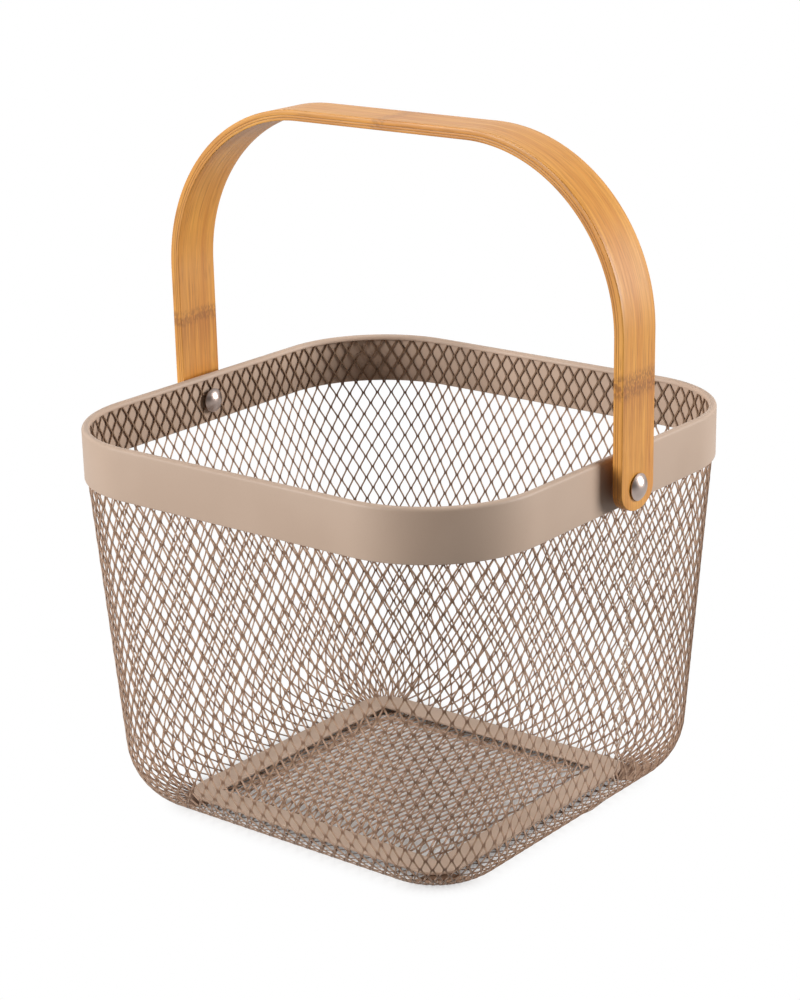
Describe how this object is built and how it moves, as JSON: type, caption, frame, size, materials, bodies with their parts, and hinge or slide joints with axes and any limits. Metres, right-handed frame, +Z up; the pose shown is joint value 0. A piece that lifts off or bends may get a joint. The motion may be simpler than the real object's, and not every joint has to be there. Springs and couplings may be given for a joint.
{
  "type": "storage basket",
  "caption": "Square expanded-metal storage basket with rounded corners, a rolled sheet-metal rim band and a bent bamboo handle that swings on cap rivets.",
  "frame": {"origin": "middle of the basket's plan, on the surface it stands on", "axes": "+Z up, X through the two handle rivets, Y from front to back"},
  "size_m": [0.275, 0.246, 0.336],
  "materials": {
    "band": "taupe powder coat on sheet steel, satin",
    "mesh": "taupe powder coat on expanded metal, satin",
    "bamboo": "clear-lacquered laminated bamboo, lengthwise grain",
    "rivet": "satin steel domes",
    "spacer": "dark nylon washer"
  },
  "bodies": {
    "basket": {"rim_band": "band", "wall_mesh": "mesh", "base_mesh": "mesh", "base_frame": "band", "rivet_right": "rivet", "rivet_cap_right": "rivet", "spacer_right": "spacer", "rivet_left": "rivet", "rivet_cap_left": "rivet", "spacer_left": "spacer"},
    "handle": {"handle_outer_ply": "bamboo", "handle_middle_ply": "bamboo", "handle_inner_ply": "bamboo"}
  },
  "joints": [
    {"name": "handle_swing", "type": "hinge", "parent": "basket", "child": "handle", "pos_m": [0, 0, 0.182], "axis": [1, 0, 0], "range_deg": [-120, 120]}
  ]
}
